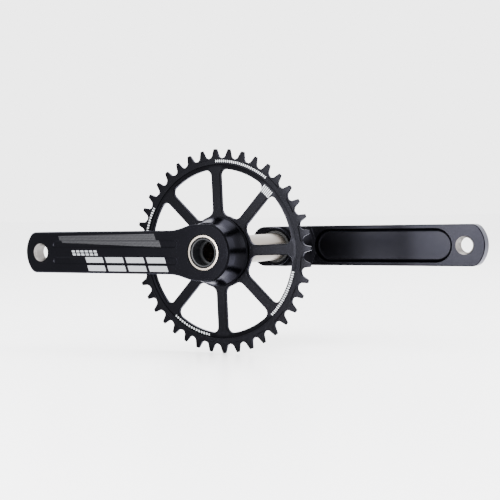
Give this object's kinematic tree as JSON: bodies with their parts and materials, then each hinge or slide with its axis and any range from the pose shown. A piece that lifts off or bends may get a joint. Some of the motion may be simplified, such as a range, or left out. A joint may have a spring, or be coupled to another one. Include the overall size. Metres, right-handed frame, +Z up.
{
  "type": "bicycle crankset",
  "caption": "Two bicycle crank arms on a hollow spindle, with a spoked narrow-toothed chainring bolted behind the drive-side arm and a clamped left arm.",
  "frame": {"origin": "on the spindle's axis, halfway between the outer faces of the two arms, which is the bicycle's centre plane", "axes": "+X forward along the left arm towards its pedal hole, +Y along the spindle towards the left arm (the drive side is -Y), +Z up"},
  "size_m": [0.375, 0.158, 0.169],
  "materials": {
    "black_anodised_arm": "bead-blasted and black anodised, satin",
    "black_anodised_ring": "machined and black anodised, satin",
    "ground_steel": "ground and nickel plated",
    "black_plastic": "moulded, fine matte",
    "bolt_steel": "blackened",
    "rubber": "matte"
  },
  "bodies": {
    "drive_side": {"drive_arm": "black_anodised_arm", "spindle": "ground_steel", "bore_liner": "black_plastic", "chainring": "black_anodised_ring", "chainring_bolt_1": "bolt_steel", "chainring_bolt_2": "bolt_steel", "chainring_bolt_3": "bolt_steel", "drive_side_seal": "rubber"},
    "left_arm": {"left_arm": "black_anodised_arm", "left_side_seal": "rubber", "pinch_washer_upper": "bolt_steel", "pinch_washer_lower": "bolt_steel"},
    "preload_cap": {"preload_cap": "black_plastic", "cap_o_ring": "rubber"},
    "pinch_bolt_upper": {"pinch_bolt_upper": "bolt_steel"},
    "pinch_bolt_lower": {"pinch_bolt_lower": "bolt_steel"},
    "safety_plate": {"safety_plate": "black_plastic"}
  },
  "joints": [
    {"name": "left_arm_slide", "type": "slide", "parent": "drive_side", "child": "left_arm", "axis": [0, 1, 0], "range_m": [0, 0.034]},
    {"name": "preload_cap_turn", "type": "hinge", "parent": "left_arm", "child": "preload_cap", "pos_m": [0, 0.0765, 0], "axis": [0, 1, 0], "continuous": true},
    {"name": "pinch_bolt_upper_turn", "type": "hinge", "parent": "left_arm", "child": "pinch_bolt_upper", "pos_m": [-0.0173, 0.0565, 0], "axis": [0, 0, 1], "continuous": true},
    {"name": "pinch_bolt_lower_turn", "type": "hinge", "parent": "left_arm", "child": "pinch_bolt_lower", "pos_m": [-0.0173, 0.07, 0], "axis": [0, 0, 1], "continuous": true},
    {"name": "safety_plate_lift", "type": "hinge", "parent": "left_arm", "child": "safety_plate", "pos_m": [-0.0173, 0.07, 0], "axis": [0, 0, 1], "range_deg": [-25, 0]}
  ]
}
